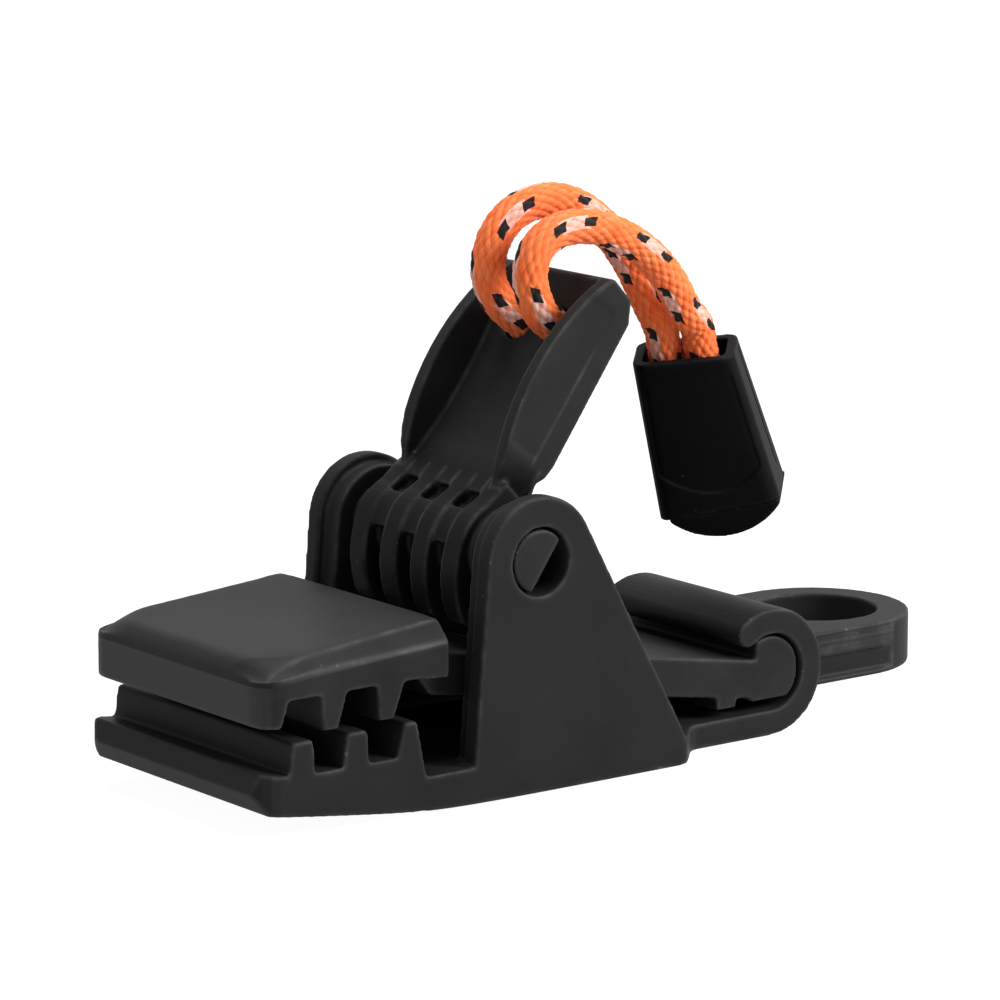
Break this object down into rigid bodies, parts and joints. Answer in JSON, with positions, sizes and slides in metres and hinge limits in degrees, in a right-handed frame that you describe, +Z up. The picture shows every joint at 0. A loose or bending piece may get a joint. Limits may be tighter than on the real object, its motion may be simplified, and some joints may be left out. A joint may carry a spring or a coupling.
{
  "type": "tarp clip",
  "caption": "Tarp clamp with toothed jaws that a cam lever closes, a pull cord on the lever, and an eye at the tail for a tie-down line.",
  "frame": {"origin": "on the surface that the clip stands on, under the middle of its length and width, measured without the pull cord and what is on it", "axes": "+X along the clip from the jaws' nose to the eye at the tail, +Y across it, +Z up from the flat underside"},
  "size_m": [0.091, 0.03, 0.0566],
  "materials": {
    "base_plastic": "fine matt moulding",
    "jaw_plastic": "fine matt moulding",
    "lever_plastic": "fine matt moulding",
    "end_plastic": "smooth satin moulding",
    "cord": "braided, with black and white tracer yarns"
  },
  "bodies": {
    "base": {"base_frame": "base_plastic"},
    "jaw": {"upper_jaw": "jaw_plastic"},
    "lever": {"cam_lever": "lever_plastic", "pull_cord_bight": "cord"},
    "cord": {"pull_cord_left": "cord", "pull_cord_right": "cord", "cord_knot": "cord", "cord_end_sleeve": "end_plastic", "cord_end_cap": "end_plastic"}
  },
  "joints": [
    {"name": "lever_pivot", "type": "hinge", "parent": "base", "child": "lever", "pos_m": [-0.0123, 0, 0.023], "axis": [0, 1, 0], "range_deg": [-25, 35]},
    {"name": "jaw_pivot", "type": "hinge", "parent": "base", "child": "jaw", "pos_m": [0.0205, 0, 0.0066], "axis": [0, 1, 0], "range_deg": [-3.31, 2.36]},
    {"name": "cord_swing", "type": "hinge", "parent": "lever", "child": "cord", "pos_m": [-0.003, 0, 0.0446], "axis": [0, 1, 0], "range_deg": [-40.3, 28.8]}
  ],
  "couplings": [
    {"joint": "jaw_pivot", "follows": "lever_pivot", "ratio": -0.0943},
    {"joint": "cord_swing", "follows": "lever_pivot", "ratio": -1.15}
  ]
}
